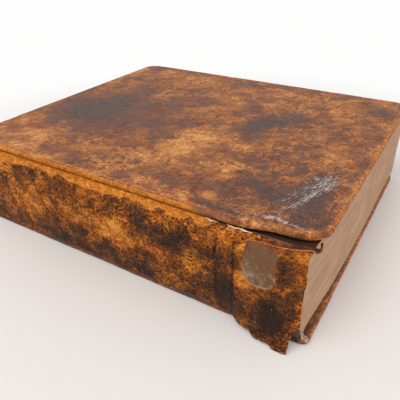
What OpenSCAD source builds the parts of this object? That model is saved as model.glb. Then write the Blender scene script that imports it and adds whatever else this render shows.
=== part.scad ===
/* [Book] */
// Width of a cover, from its spine edge to its fore-edge
cover_w = 233; // [200:1:260]
// Height of a cover, from tail to head
cover_h = 273; // [240:1:300]
// Thickness of the closed book
book_t = 70; // [55:1:85]

/* [Covers] */
// Thickness of the pasteboard inside a cover
board_t = 3.2; // [2.4:0.1:4.2]
// Thickness of the covering leather
leather_t = 1; // [0.8:0.05:1.3]
// Thickness of the leather where it is pared and turned in
turn_in_t = 0.6; // [0.4:0.05:0.9]
// Width of the leather turned in round a board
turn_in_w = 16; // [11:1:24]
// Thickness of the paper lining pasted inside a cover
lining_paper_t = 0.3; // [0.2:0.05:0.5]
// Bare leather left round the paper lining
lining_margin = 5; // [3:0.5:8]
// Radius of a worn corner at the fore-edge
corner_r = 13; // [6:1:20]
// Radius of the worn edges of a cover
edge_r = 1.8; // [1.2:0.1:2]
// Radius of a cover's corners at the spine
spine_corner_r = 5; // [4:0.5:8]
// How far the front cover's spine corner at the tail is worn back along the tail edge
worn_w = 17; // [14:1:22]
// How far that corner is worn back along the spine edge
worn_h = 50; // [40:1:60]

/* [Leaves] */
// How far the covers stand out past the leaves at the head and the tail
end_square = 5.1; // [4.6:0.1:7]
// How far the leaves have sagged towards the tail at the fore-edge
leaf_sag = 3.8; // [0:0.2:4.4]
// How far the covers stand out past the leaves at the fore-edge
fore_square = 2.6; // [1.5:0.1:5]
// Depth of the hollow of the fore-edge
fore_hollow = 4; // [1:0.5:8]

/* [Spine] */
// How far the rounded spine stands out past the covers
spine_bulge = 5; // [2:0.5:9]
// Thickness of the lining glued over the backs of the leaves
spine_lining_t = 0.7; // [0.4:0.1:1.2]
// Number of double lines pressed across the spine
line_pairs = 6; // [4:1:7]
// Distance from one double line to the next
line_pitch = 34.4; // [28:0.2:36]
// Distance between the two lines of a pair
line_gap = 11; // [6:0.5:13]
// Width of a pressed line
line_w = 1.6; // [1:0.1:2.4]
// Depth of a pressed line
line_depth = 0.4; // [0.2:0.05:0.5]

/* [Sewing] */
// Number of cords that the leaves are sewn on
cord_count = 5; // [3:1:6]
// Diameter of a sewing cord
cord_d = 2.4; // [1.6:0.1:3]
// Diameter of the endband at the head
endband_d = 2.6; // [1.8:0.1:3.2]
// Thickness of a loose thread at the tail
thread_d = 0.7; // [0.4:0.1:0.8]

/* [Wear] */
// Length of the spine leather that has torn loose at the tail
flap_h = 45; // [30:1:60]
// How far the tip of the loose leather reaches out past the joint
flap_reach = 13; // [8:0.5:16]
// Width of the narrow strip of leather left beside the tear
tear_strip_w = 3.4; // [2.4:0.2:5]
// Width of the open tear
tear_gap = 0.8; // [0.5:0.1:1.4]
// Length of the crack in the front joint, from the tail
crack_h = 61; // [30:1:90]
// Width of the torn strip of leather in the front joint
strip_w = 3; // [2:0.2:4]
// Thickness of that strip
strip_t = 0.9; // [0.6:0.1:1.2]
// Length of that strip along the spine
strip_h = 30; // [20:1:40]
// Height of the worn paper label, along the spine
label_h = 21; // [14:1:28]
// Width of that label, round the spine
label_w = 33; // [22:1:38]
// Thickness of that label
label_t = 0.25; // [0.15:0.05:0.4]
// Height of that label's middle above the tail
label_up = 27; // [20:1:36]

/* [Fit] */
// Clearance between a cover and what it closes on
fit_gap = 0.3; // [0.2:0.05:0.5]
// Clearance between pieces that lie on each other
seat_gap = 0.06; // [0.04:0.01:0.1]

/* [Hidden] */
// How far cutting shapes run past what they cut
overrun = 1;

// A cover without its paper lining, and with it
shell_t = leather_t + board_t + turn_in_t;
cover_t = shell_t + lining_paper_t;
// The spine edge of a cover is a half round, and the cover turns about its centre
joint_r = shell_t / 2;
joint_x = -cover_w / 2 + joint_r;
// Where the outline of the leather on the spine starts, at each joint
spine_x = joint_x - joint_r / 4;
spine_top = book_t - shell_t - fit_gap;
spine_bottom = shell_t + fit_gap;
spine_reach = cover_w / 2 + spine_bulge + spine_x;
// The leaves between the covers
block_bottom = cover_t + fit_gap;
block_top = book_t - cover_t - fit_gap;
fore_x = cover_w / 2 - fore_square;
leaf_h = cover_h - 2 * end_square;
leaf_tail = -leaf_h / 2;
leaf_head = leaf_h / 2;
// Where the leather ends at the tail and at the head
leather_tail = leaf_tail - leather_t;
leather_head = cover_h / 2 - edge_r;

// The rounded spine, from the front joint to the back joint: out of the joint, and down
round_shares = [[-0.19, 0], [0.34, 0.008], [0.71, 0.055], [0.91, 0.15], [1, 0.28], [0.97, 0.42],
    [0.88, 0.57], [0.75, 0.71], [0.6, 0.83], [0.45, 0.93], [0.36, 1]];
round_steps = 2 * (len(round_shares) - 1);
// The sag of the leaves, from the spine to the fore-edge: across, and down
sag_shares = [[0, 0], [0.1, 0.3], [0.22, 0.75], [0.37, 0.98], [0.5, 1], [1, 0.95]];
sag_steps = 15;

// The lower edge of the loose leather, from its root to its tip
flap_out_shares = [0.19, 0.42, 0.58, 0.78, 0.92, 0.96, 1];
flap_up_shares = [1, 0.82, 0.49, 0.26, 0.18, 0.15, 0.12];
flap_steps = 10;
// Where the loose leather starts to leave the rounded spine, and how soon it has left
flap_from_share = 0.5;
flap_root_share = 0.3;
// How the loose leather bows between its root and its edge: out, and up
flap_bow_shares = [0.1, 0.35];
// The rows of leather, counted down from the front joint, that are worn away in the crack
crack_rows = 1;
// The rows of leather, counted down from the front joint, that the tear leaves whole
tear_rows = round_steps - 4;

// Cubic through the middle two of four values
function cubic(a, b, c, d, t) =
    b + t / 2 * (c - a + t * (2 * a - 5 * b + 4 * c - d + t * (3 * (b - c) + d - a)));
// A smooth curve through a list of values, t from 0 to 1
function along(list, t) =
    let (n = len(list) - 1, s = min(max(t, 0), 1) * n, k = min(floor(s), n - 1))
    cubic(list[max(k - 1, 0)], list[k], list[k + 1], list[min(k + 2, n)], s - k);
// A slow start and a slow end
function ease(t) = let (s = min(max(t, 0), 1)) s * s * (3 - 2 * s);
function unit(v) = v / norm(v);
function mix(a, b, t) = a + (b - a) * t;

// A point of the rounded spine's outline, and its direction outwards
function round_point(t) = let (s = along(round_shares, t))
    [spine_x - s[0] * spine_reach, spine_top - s[1] * (spine_top - spine_bottom)];
function round_out(t) =
    let (d = 1 / (2 * round_steps), v = unit(round_point(min(t + d, 1)) - round_point(max(t - d, 0))))
    [v[1], -v[0]];
// The same outline, moved in by a thickness
function round_inside(t, depth) = round_point(t) - depth * round_out(t);
function round_line(depth, from, to) =
    [for (i = [from : to]) round_inside(i / round_steps, depth)];

// The lines pressed across the spine
function line_y(k) = (k - (line_pairs - 1) / 2) * line_pitch;
line_places = [for (k = [0 : line_pairs - 1], side = [-1, 1]) line_y(k) + side * line_gap / 2];
function line_press(y) = max([for (p = line_places) abs(y - p) < line_w / 4 ? 1 : 0]) * line_depth;

// The outside of the leather on the spine, where it hangs loose at the tail. Between its loose
// part and the very tail, where it still clings to the leaves, it slopes back
tear_y = leather_tail + tear_strip_w;
flap_tail = tear_y + tear_gap;
function flap_t(y) = 1 - (y - flap_tail) / flap_h;
function flap_edge(y) =
    [spine_x - along(flap_out_shares, flap_t(y)) * flap_reach,
     along(flap_up_shares, flap_t(y)) * spine_bottom];
// A curve that leaves the rounded spine along it, and ends at the loose edge
function flap_point(y, t) =
    let (s = (t - flap_from_share) / (1 - flap_from_share),
         a = round_point(flap_from_share), c = flap_edge(y),
         b = [mix(a[0], c[0], flap_bow_shares[0]), mix(c[1], a[1], flap_bow_shares[1])])
    (1 - s) * (1 - s) * a + 2 * s * (1 - s) * b + s * s * c;
function flap_share(y) =
    ease(flap_t(y) / flap_root_share) * min(1, (y - leather_tail) / (flap_tail - leather_tail));
function spine_point(y, t) = t <= flap_from_share ? round_point(t) :
    mix(round_point(t), flap_point(y, t), flap_share(y));
function spine_out(y, t) =
    let (d = 1 / (2 * round_steps), v = unit(spine_point(y, min(t + d, 1)) - spine_point(y, max(t - d, 0))))
    [v[1], -v[0]];
// A point on the leather of the spine, lifted off its outside
function on_spine(y, t, lift) = let (p = spine_point(y, t) + lift * spine_out(y, t)) [p[0], y, p[1]];

// The places along the spine where the leather's sections are taken, from tail to head
first_line = line_places[0] - line_w;
spine_stations = concat([leather_tail, tear_y],
    [for (i = [0 : flap_steps]) mix(flap_tail, first_line, i / (flap_steps + 1))],
    [for (p = line_places, side = [-1, 0, 1]) p + side * line_w / 2],
    [leather_head]);

// A shell between two grids of points, made of the cells that are kept
module cell_shell(outside, inside, kept) {
    rows = len(outside) - 1;
    columns = len(outside[0]) - 1;
    width = columns + 1;
    inner = (rows + 1) * width;
    function here(i, j) = i >= 0 && i < rows && j >= 0 && j < columns && kept(i, j);
    cells = [for (i = [0 : rows - 1], j = [0 : columns - 1]) if (here(i, j)) [i, j]];
    function at(i, j) = i * width + j;
    // The four sides of a cell, each with the cell that lies past it
    function sides(c) = let (i = c[0], j = c[1]) [
        [at(i, j), at(i + 1, j), i, j - 1], [at(i + 1, j), at(i + 1, j + 1), i + 1, j],
        [at(i + 1, j + 1), at(i, j + 1), i, j + 1], [at(i, j + 1), at(i, j), i - 1, j]];
    polyhedron(
        points = concat([for (row = outside, p = row) p], [for (row = inside, p = row) p]),
        faces = concat(
            [for (c = cells) let (q = at(c[0], c[1])) each
                [[q, q + width, q + width + 1], [q, q + width + 1, q + 1]]],
            [for (c = cells) let (q = inner + at(c[0], c[1])) each
                [[q + width + 1, q + width, q], [q + 1, q + width + 1, q]]],
            [for (c = cells, s = sides(c)) if (!here(s[2], s[3])) each
                [[s[1], s[0], inner + s[0]], [s[1], inner + s[0], inner + s[1]]]]));
}

// A solid through rings of points, each of them counter-clockwise as seen from the next ring
module ring_bar(rings) {
    n = len(rings[0]);
    last = len(rings) - 1;
    polyhedron(
        points = [for (r = rings, p = r) p],
        faces = concat([[for (k = [0 : n - 1]) k]], [[for (k = [n - 1 : -1 : 0]) last * n + k]],
            [for (i = [0 : last - 1], k = [0 : n - 1])
                let (a = i * n + k, b = i * n + (k + 1) % n) each [[b, a, b + n], [a, a + n, b + n]]]));
}

// Direction of a path at one of its points
function heading(path, i) = unit(path[min(i + 1, len(path) - 1)] - path[max(i - 1, 0)]);
// A round bar along a path that has no bend along the given side direction
module round_bar(path, d, side, facets) {
    ring_bar([for (i = [0 : len(path) - 1])
        let (up = unit(cross(heading(path, i), side)), across = cross(up, heading(path, i)))
        [for (k = [0 : facets - 1]) path[i] + d / 2 * (cos(360 * k / facets) * across
            + sin(360 * k / facets) * up)]]);
}

// A flat bar along a path, with the direction of its width given at each point
module flat_bar(path, widths, w, t) {
    ring_bar([for (i = [0 : len(path) - 1])
        let (across = w[i] / 2 * unit(widths[i]), up = t / 2 * unit(cross(heading(path, i), widths[i])))
        [path[i] + across + up, path[i] - across + up, path[i] - across - up, path[i] + across - up]]);
}

// Turns an outline drawn in X and Z into a bar along Y
module bar_along_y(from, to) {
    translate([0, to, 0]) rotate([90, 0, 0]) linear_extrude(to - from) children();
}

// A corner at the spine, from the spine edge to the tail edge: across, and up
corner_steps = 6;
corner_turns = [for (k = [0 : corner_steps]) 90 * k / corner_steps];
function round_corner(w, h) = [for (a = corner_turns) [w * (1 - cos(a)), h * (1 - sin(a))]];
// The front cover's corner at the tail is worn in a long hollow curve
worn_shares = [[0, 1], [0.03, 0.87], [0.11, 0.73], [0.24, 0.59], [0.3, 0.44], [0.31, 0.3],
    [0.41, 0.19], [0.64, 0.08], [1, 0]];
worn_steps = 2 * (len(worn_shares) - 1);
function worn_corner(w, h) =
    [for (k = [0 : worn_steps]) let (s = along(worn_shares, k / worn_steps)) [w * s[0], h * s[1]]];

// A cover's outline, or that of something in it, moved in from the spine edge and from the other
// three edges, with the two reaches of a round corner at the spine and the radius at the fore-edge
function ring(front, spine_inset, inset, back, r) =
    let (x0 = spine_inset - cover_w / 2, x1 = cover_w / 2 - inset, y1 = cover_h / 2 - inset,
         head = round_corner(back[0], back[1]),
         tail = front ? worn_corner(worn_w - spine_inset, worn_h - inset) : head)
    concat([for (p = tail) [x0 + p[0], p[1] - y1]],
        [for (a = corner_turns) [x1 - r + r * sin(a), r - r * cos(a) - y1]],
        [for (a = corner_turns) [x1 - r + r * cos(a), y1 - r + r * sin(a)]],
        [for (k = [corner_steps : -1 : 0]) [x0 + head[k][0], y1 - head[k][1]]]);

function cover_ring(front, spine_inset, inset) =
    ring(front, spine_inset, inset, [spine_corner_r - spine_inset, spine_corner_r - inset],
        corner_r - inset);
// The pasteboard, its spine edge set back behind the half round
function board_ring(front) = cover_ring(front, joint_r * 2 / 3, leather_t);
// The opening between the turned-in edges, and the same moved in
function opening_ring(front, inset) =
    ring(front, shell_t + inset, turn_in_w + inset, [leather_t, leather_t], leather_t);

function at_height(outline, z) = [for (p = outline) [p[0], p[1], z]];

// The leather of a cover, lying on its outside: round the worn edges, in over the board to the
// opening, and back under the turned-in borders to the board's own seat
edge_steps = 8;
module leather_form(front) {
    under = leather_t + board_t;
    ring_bar(concat(
        [for (k = [0 : edge_steps]) let (a = 180 * k / edge_steps, inset = 1 - sin(a))
            at_height(cover_ring(front, joint_r * inset, edge_r * inset), joint_r * (1 - cos(a)))],
        [at_height(opening_ring(front, 0), shell_t), at_height(opening_ring(front, 0), under),
         at_height(board_ring(front), under), at_height(board_ring(front), leather_t)]));
}

module board_form(front) {
    translate([0, 0, leather_t]) linear_extrude(board_t) polygon(board_ring(front));
}

// The paper lining, sunk between the turned-in borders and lapped over them
module lining_form(front) {
    lap = ring(front, joint_r * 3 / 2, lining_margin, [spine_corner_r, spine_corner_r], lining_margin);
    difference() {
        union() {
            translate([0, 0, shell_t]) linear_extrude(lining_paper_t) polygon(lap);
            translate([0, 0, leather_t + board_t])
                linear_extrude(turn_in_t + lining_paper_t) polygon(opening_ring(front, 0));
        }
        translate([0, 0, leather_t + board_t + lining_paper_t])
            linear_extrude(turn_in_t + overrun) polygon(opening_ring(front, lining_paper_t));
    }
}

// Puts a cover's piece on the front of the book instead of the back
module on_front() {
    translate([0, 0, book_t]) mirror([0, 0, 1]) children();
}

// How far the leaves have sunk at a place across the book
function sag_at(t) =
    let (k = [for (i = [1 : len(sag_shares) - 1]) if (sag_shares[i][0] >= t) i][0],
         a = sag_shares[k - 1], b = sag_shares[k])
    leaf_sag * mix(a[1], b[1], ease((t - a[0]) / (b[0] - a[0])));

// Where the leaves' own rounded back lies under the leather and the lining
back_depth = leather_t + spine_lining_t;
block_back_x = spine_x - spine_reach + back_depth;

module block_section() {
    back = round_line(back_depth, 1, round_steps - 1);
    mid = (block_top + block_bottom) / 2;
    half = (block_top - block_bottom) / 2;
    hollow = [for (a = [-90 : 15 : 90]) [fore_x - fore_hollow * cos(a), mid + half * sin(a)]];
    polygon(concat([for (p = back) [p[0], min(max(p[1], block_bottom), block_top)]], hollow));
}

module block_outline() {
    across = [for (i = [0 : sag_steps]) i / sag_steps];
    reach = fore_x - block_back_x;
    polygon(concat([for (t = across) [block_back_x + t * reach, leaf_tail - sag_at(t)]],
        [for (k = [sag_steps : -1 : 0]) let (t = across[k])
            [block_back_x + t * reach, leaf_head - sag_at(t)]]));
}

// Where each sewing cord lies along the spine, and how many steps round it the cord stops short
function cord_y(k) = (k - (cord_count + 1) / 2) * leaf_h / (cord_count + 1);
cord_end_steps = 2;
cord_steps = [cord_end_steps : round_steps - cord_end_steps];
groove_steps = [cord_end_steps - 1 : round_steps - cord_end_steps + 1];

module text_block() color([0.72, 0.60, 0.46]) difference() {
    intersection() {
        bar_along_y(-cover_h / 2, cover_h / 2) block_section();
        linear_extrude(book_t) block_outline();
    }
    // The sawn grooves in the backs of the leaves that hold the cords
    for (k = [1 : cord_count]) bar_along_y(cord_y(k) - cord_d / 2, cord_y(k) + cord_d / 2)
        polygon(concat([for (i = groove_steps) round_inside(i / round_steps, back_depth - seat_gap)],
            [for (i = groove_steps) round_inside(1 - i / round_steps, back_depth + cord_d)]));
}

module sewing_cord(k) color([0.78, 0.70, 0.52]) {
    path = [for (i = cord_steps)
        let (p = round_inside(i / round_steps, back_depth + cord_d / 2)) [p[0], cord_y(k), p[1]]];
    round_bar(path, cord_d - 2 * seat_gap, [0, 1, 0], 8);
}

// Paper and glue over the backs of the leaves
module spine_lining() color([0.86, 0.82, 0.72])
    bar_along_y(leaf_tail, leaf_head) polygon(concat(round_line(leather_t, 0, round_steps),
        [for (i = [round_steps : -1 : 0]) round_inside(i / round_steps, back_depth)]));

module spine_leather() color([0.62, 0.34, 0.12]) {
    outside = [for (i = [0 : round_steps]) [for (y = spine_stations)
        on_spine(y, i / round_steps, -line_press(y))]];
    inside = [for (i = [0 : round_steps]) [for (y = spine_stations)
        on_spine(y, i / round_steps, -leather_t)]];
    crack_end = leather_tail + crack_h;
    cell_shell(outside, inside, function(i, j)
        let (y = spine_stations[j])
        !(i < crack_rows && y < crack_end) && !(y < flap_tail && i >= tear_rows));
}

// The strip of joint leather that still hangs in the crack and curls round the tail
strip_steps = 7;
strip_turn_shares = [0.14, 0.03];
strip_root_share = 0.3;
strip_curl_share = 0.9;
// The curl past the tail: inwards, tailwards, up, and how far its width has turned upright
curl_shares = [[0, -0.22, -0.03, 0.7], [0.2, -0.4, -0.06, 1], [0.55, -0.47, -0.08, 1],
    [0.9, -0.4, -0.04, 1], [1.2, -0.24, 0.04, 1]];
module joint_strip() color([0.48, 0.24, 0.13]) {
    lift = strip_t / 2 + 2 * seat_gap;
    down = [for (k = [0 : strip_steps]) k / strip_steps];
    turns = [for (d = down) mix(strip_turn_shares[0], strip_turn_shares[1], d * d)];
    lying = [for (k = [0 : strip_steps]) on_spine(leather_tail + strip_h * (1 - down[k]), turns[k], lift)];
    across = [for (t = turns) let (out = round_out(t)) [out[1], 0, -out[0]]];
    curl = [for (s = curl_shares) lying[strip_steps] + end_square * [s[0], s[1], s[2]]];
    widths = concat(across, [for (s = curl_shares) mix(across[strip_steps], [0, 0, 1], s[3])]);
    w = concat([for (d = down) strip_w * mix(strip_root_share, 1, d)],
        [for (s = curl_shares) strip_w * strip_curl_share]);
    flat_bar(concat(lying, curl), widths, w, strip_t);
}

// What is left of a paper label: a rough oval that follows the leather, below the torn strip. How
// far below it starts, how its half width is spread round the spine, and how square its ends are
label_gap_share = 0.04;
label_wrap_share = 0.335;
label_end_share = 0.95;
label_columns = 10;
label_half_turn = label_w / (spine_top - spine_bottom) * label_wrap_share;
label_turn = strip_turn_shares[0] + label_gap_share + label_half_turn;
label_turns = let (from = label_turn - label_half_turn, to = label_turn + label_half_turn)
    concat([from], [for (i = [ceil(from * round_steps) : floor(to * round_steps)]) i / round_steps], [to]);
function label_reach(t) = let (u = label_end_share * abs(t - label_turn) / label_half_turn)
    label_h / 2 * pow(1 - u * u * u, 1 / 3);
// A point over the flat faces of the leather, between one of its sections round the spine and
// the next
function over_spine(y, t, lift) = let (s = t * round_steps, i = floor(s))
    mix(on_spine(y, i / round_steps, lift), on_spine(y, (i + 1) / round_steps, lift), s - i);
function label_face(lift) = [for (t = label_turns) [for (k = [0 : label_columns])
    over_spine(leather_tail + label_up + label_reach(t) * (2 * k / label_columns - 1), t, lift)]];
module label_remnant() color([0.50, 0.44, 0.36])
    cell_shell(label_face(seat_gap + label_t), label_face(seat_gap), function(i, j) true);

// The rolled band sewn on at the head of the leaves
module head_endband() color([0.70, 0.60, 0.42]) {
    path = [for (i = cord_steps)
        let (p = round_inside(i / round_steps, leather_t + endband_d / 2 + seat_gap))
        [p[0], leaf_head + endband_d / 2 + seat_gap, p[1]]];
    round_bar(path, endband_d, [0, 1, 0], 10);
}

// Ends of sewing thread that hang from the tail of the leaves, down to the back cover: their
// place across, and how far they drop, wave and reach out
thread_shares = [[-0.9, 1, 0.05, 0.9], [-0.5, 0.85, 0.05, 0.6], [-0.1, 1, -0.05, 0.75],
    [0.3, 0.75, 0.05, 0.5]];
thread_steps = 6;
module tail_threads() color([0.80, 0.72, 0.55]) {
    for (s = thread_shares) {
        top = [joint_x + s[0] * joint_r, leaf_tail - thread_d, spine_bottom + shell_t];
        drop = s[1] * (top[2] - spine_bottom - thread_d / 2);
        out = s[3] * end_square / 2;
        path = [for (k = [0 : thread_steps]) let (t = k / thread_steps)
            top + [s[2] * joint_r * sin(180 * t), -out * t * t, -drop * t]];
        round_bar(path, thread_d, [1, 0, 0], 6);
    }
}

module front_board() color([0.55, 0.47, 0.36]) on_front() board_form(true);
module front_leather() color([0.36, 0.20, 0.12]) on_front() leather_form(true);
module front_lining() color([0.80, 0.73, 0.58]) on_front() lining_form(true);
module back_board() color([0.55, 0.47, 0.36]) board_form(false);
module back_leather() color([0.42, 0.24, 0.12]) leather_form(false);
module back_lining() color([0.80, 0.73, 0.58]) lining_form(false);

text_block();
spine_lining();
spine_leather();
joint_strip();
label_remnant();
sewing_cord(1);  // sewing_cord_1
sewing_cord(2);  // sewing_cord_2
sewing_cord(3);  // sewing_cord_3
sewing_cord(4);  // sewing_cord_4
sewing_cord(5);  // sewing_cord_5
head_endband();
tail_threads();
front_board();
front_leather();
front_lining();
back_board();
back_leather();
back_lining();
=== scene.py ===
import bmesh
import bpy
import numpy as np
from mathutils import Matrix, Vector
from numpy import (arange, array, clip, concatenate, cos, cumsum, diff, exp, hypot, interp,
                   linspace, maximum, meshgrid, minimum, pi, radians, sin, stack, tile, where)


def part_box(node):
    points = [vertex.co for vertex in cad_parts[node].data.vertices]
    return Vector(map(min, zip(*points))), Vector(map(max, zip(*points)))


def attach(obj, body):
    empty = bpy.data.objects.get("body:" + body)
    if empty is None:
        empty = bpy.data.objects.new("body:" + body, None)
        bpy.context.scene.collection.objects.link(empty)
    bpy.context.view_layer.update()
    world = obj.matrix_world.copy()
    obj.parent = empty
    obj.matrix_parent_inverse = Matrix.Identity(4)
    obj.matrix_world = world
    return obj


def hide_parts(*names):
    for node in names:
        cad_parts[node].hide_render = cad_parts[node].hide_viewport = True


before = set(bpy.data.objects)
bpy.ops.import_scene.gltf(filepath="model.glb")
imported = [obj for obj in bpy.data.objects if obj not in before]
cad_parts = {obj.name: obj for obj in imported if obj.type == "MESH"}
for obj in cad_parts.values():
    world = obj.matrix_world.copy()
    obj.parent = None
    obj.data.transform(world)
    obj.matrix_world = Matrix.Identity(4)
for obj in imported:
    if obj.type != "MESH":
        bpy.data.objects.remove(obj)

# An antique book in brown calf, closed, with its torn spine towards the camera.
# Lengths are in millimetres until a mesh is made, in the book's own frame.
MM = 0.001
scene = bpy.context.scene
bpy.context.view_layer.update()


# Sizes, read from the frame

def corners(node):
    """The lowest and the highest corner of a solid of the frame, in millimetres."""
    return [array(c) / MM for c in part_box(node)]


cover_lo, cover_hi = corners("back_leather")
board_lo, board_hi = corners("back_board")
leaves_lo, leaves_hi = corners("text_block")
lining_lo, lining_hi = corners("spine_lining")
skin_lo, skin_hi = corners("spine_leather")
band_lo, band_hi = corners("head_endband")

book_t = corners("front_leather")[1][2]
shell_t = cover_hi[2]
leather_t = board_lo[2]
board_top = board_hi[2]
joint_r = shell_t / 2
joint_x = cover_lo[0] + joint_r
spine_x = joint_x - joint_r / 4
spine_top = skin_hi[2]
spine_bottom = book_t - spine_top
leather_tail, leather_head = skin_lo[1], skin_hi[1]
leaf_tail, leaf_head = lining_lo[1], lining_hi[1]
end_square = leaf_tail - cover_lo[1]
spine_reach = spine_x - lining_lo[0] + leather_t
# How far the outline of the leaves' backs lies inside that of the spine
backs_in = leather_t + 0.7
leaf_sag = leaf_tail - leaves_lo[1]

# Sizes of the covers' edges and borders, which the frame's boxes don't give
edge_r = 1.8
corner_r = 13
spine_corner_r = 5
worn_w, worn_h = 17, 50
turn_in_w = 16
fillet_inset = 6


# Shapes of numbers

def mix(a, b, share):
    return a + (b - a) * share


def ease(t):
    """From 0 to 1, with a slow start and a slow end."""
    s = clip(t, 0, 1)
    return s * s * (3 - 2 * s)


def shares(count, **ends):
    """Numbers at even steps from 0 to 1."""
    return linspace(0, 1, count, **ends)


def along(values, t):
    """A smooth curve through a list of values, t from 0 to 1."""
    v = np.asarray(values, float)
    last = len(v) - 1
    s = clip(t, 0, 1) * last
    k = minimum(np.floor(s).astype(int), last - 1)
    a, b, c, d = v[maximum(k - 1, 0)], v[k], v[k + 1], v[minimum(k + 2, last)]
    f = s - k
    if v.ndim > 1:
        f = f[..., None]
    return b + f / 2 * (c - a + f * (2 * a - 5 * b + 4 * c - d + f * (3 * (b - c) + d - a)))


def lattice(ix, iy, iz, seed):
    """A repeatable value from -1 to 1 at each corner of a grid."""
    n = (ix * 374761393 + iy * 668265263 + iz * 1442695041 + seed * 974634777) & 0xFFFFFFFF
    n = ((n ^ (n >> 13)) * 1274126177) & 0xFFFFFFFF
    return ((n ^ (n >> 16)) & 0xFFFF) / 32767.5 - 1


def noise(size, seed, x, y=0, z=0):
    """Smooth noise from -1 to 1 whose lumps are about size across."""
    still = 0 * (x + y + z)
    p = [v / size + still for v in (x, y, z)]
    cell = [np.floor(v).astype(np.int64) for v in p]
    f = [v - c for v, c in zip(p, cell)]
    f = [v * v * v * (v * (v * 6 - 15) + 10) for v in f]
    total = 0
    for corner in range(8):
        step = [corner & 1, corner >> 1 & 1, corner >> 2]
        weight = 1
        for v, s in zip(f, step):
            weight = weight * (v if s else 1 - v)
        total = total + weight * lattice(*[c + s for c, s in zip(cell, step)], seed)
    return total


def fractal(size, seed, x, y=0, z=0, octaves=3):
    """Noise with finer noise on it."""
    return sum(noise(size / 2 ** k, seed + k, x, y, z) / 2 ** k for k in range(octaves))


def patches(u, v, places, size, seed, wander):
    """Soft ragged patches, each a middle, two reaches, an amount and maybe a turn in degrees."""
    u, v = u + wander * fractal(size, seed, u, v), v + wander * fractal(size, seed + 9, u, v, 50)
    total = 0 * u
    for cu, cv, ru, rv, amount, *turn in places:
        turn = radians(sum(turn))
        c, s, du, dv = cos(turn), sin(turn), u - cu, v - cv
        near = -((du * c + dv * s) / ru) ** 2 - ((dv * c - du * s) / rv) ** 2
        total = total + amount * exp(near)
    return total


def unit(v):
    return v / np.linalg.norm(v, axis=-1, keepdims=True)


def outward(start, end):
    """The direction square to the way from start to end, out of the book, in X and Z."""
    v = unit(end - start)
    return stack([v[..., 1], -v[..., 0]], -1)


def with_y(p, y):
    """Points in space from points in X and Z."""
    return stack([p[..., 0], y, p[..., 1]], -1)


# Meshes

def placed(name, data):
    obj = bpy.data.objects.new(name, data)
    scene.collection.objects.link(obj)
    return obj


def piece(name, form, material, replaced, fields=(), body="block", sharp=60):
    """Makes a mesh from points in millimetres and faces, and lets it ride on a body."""
    points, faces = form
    mesh = bpy.data.meshes.new(name)
    mesh.from_pydata((points * MM).tolist(), [], faces)
    for key, values in dict(fields).items():
        layer = mesh.attributes.new(key, "FLOAT", "POINT")
        layer.data.foreach_set("value", np.asarray(values, np.float32).ravel())
    work = bmesh.new()
    work.from_mesh(mesh)
    bmesh.ops.delete(work, geom=[v for v in work.verts if not v.link_faces], context="VERTS")
    bmesh.ops.recalc_face_normals(work, faces=work.faces)
    work.to_mesh(mesh)
    work.free()
    mesh.shade_smooth()
    mesh.set_sharp_from_angle(angle=radians(sharp))
    mesh.materials.append(material)
    obj = placed(name, mesh)
    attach(obj, body)
    if replaced:
        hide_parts(*replaced)


def grid_faces(rows, columns, kept=None, closed=False):
    """Faces of a grid of points, row by row. A closed grid's last column meets its first."""
    faces = []
    for i in range(rows - 1):
        for j in range(columns if closed else columns - 1):
            if kept is None or kept[i, j]:
                a, b, k = i * columns, (i + 1) * columns, (j + 1) % columns
                faces.append((a + j, b + j, b + k, a + k))
    return faces


def shell(outside, inside, kept):
    """A closed shell between two grids of points, made of the cells that are kept."""
    rows, columns = outside.shape[:2]
    inner = rows * columns
    front = grid_faces(rows, columns, kept)
    faces = front + [tuple(inner + k for k in reversed(f)) for f in front]
    pad = np.zeros((rows + 1, columns + 1), bool)
    pad[1:-1, 1:-1] = kept
    for i in range(rows - 1):
        for j in range(columns - 1):
            if not kept[i, j]:
                continue
            a, b = i * columns + j, (i + 1) * columns + j
            sides = [(a, b, pad[i + 1, j]), (b, b + 1, pad[i + 2, j + 1]),
                     (b + 1, a + 1, pad[i + 1, j + 2]), (a + 1, a, pad[i, j + 1])]
            faces += [(q, p, inner + p, inner + q) for p, q, past in sides if not past]
    points = concatenate([outside.reshape(-1, 3), inside.reshape(-1, 3)])
    return points, faces


def bar(grid):
    """A closed bar from rings of points, one ring in each row."""
    rows, columns = grid.shape[:2]
    last = (rows - 1) * columns
    faces = grid_faces(rows, columns, closed=True)
    faces += [tuple(range(columns)), tuple(last + k for k in reversed(range(columns)))]
    return grid.reshape(-1, 3), faces


def headings(path):
    return unit(np.gradient(path, axis=0))


def tube(path, radius, facets, up):
    """A closed round tube along a path, with one radius for each of its points."""
    ahead = headings(path)
    side = unit(np.cross(ahead, up))
    over = np.cross(side, ahead)
    turn = 2 * pi * arange(facets)[None, :, None] / facets
    return bar(path[:, None] + radius[:, None, None] * (
        cos(turn) * side[:, None] + sin(turn) * over[:, None]))


def ribbon(path, wide, half, thick, cup, facets):
    """A closed flat bar along a path: its width's direction, half width and thickness."""
    wide = unit(wide)
    normal = np.cross(headings(path), wide)
    rings = []
    for side in (1, -1):
        for k in linspace(-side, side, facets):
            over = side * thick / 2 + cup * (k * k - 0.5)
            rings.append(path + wide * (k * half)[:, None] + normal * over)
    return bar(array(rings).transpose(1, 0, 2))


def joined(parts):
    """Puts several sets of points and faces together."""
    points, faces, start = [], [], 0
    for p, f in parts:
        points.append(p)
        faces += [tuple(start + k for k in face) for face in f]
        start += len(p)
    return concatenate(points), faces


# Materials

def linear(rgb):
    """A colour given from 0 to 255, as the shader's linear colour."""
    return tuple((c / 255 / 12.92 if c / 255 <= 0.04045 else ((c / 255 + 0.055) / 1.055) ** 2.4)
                 for c in rgb) + (1,)


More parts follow.
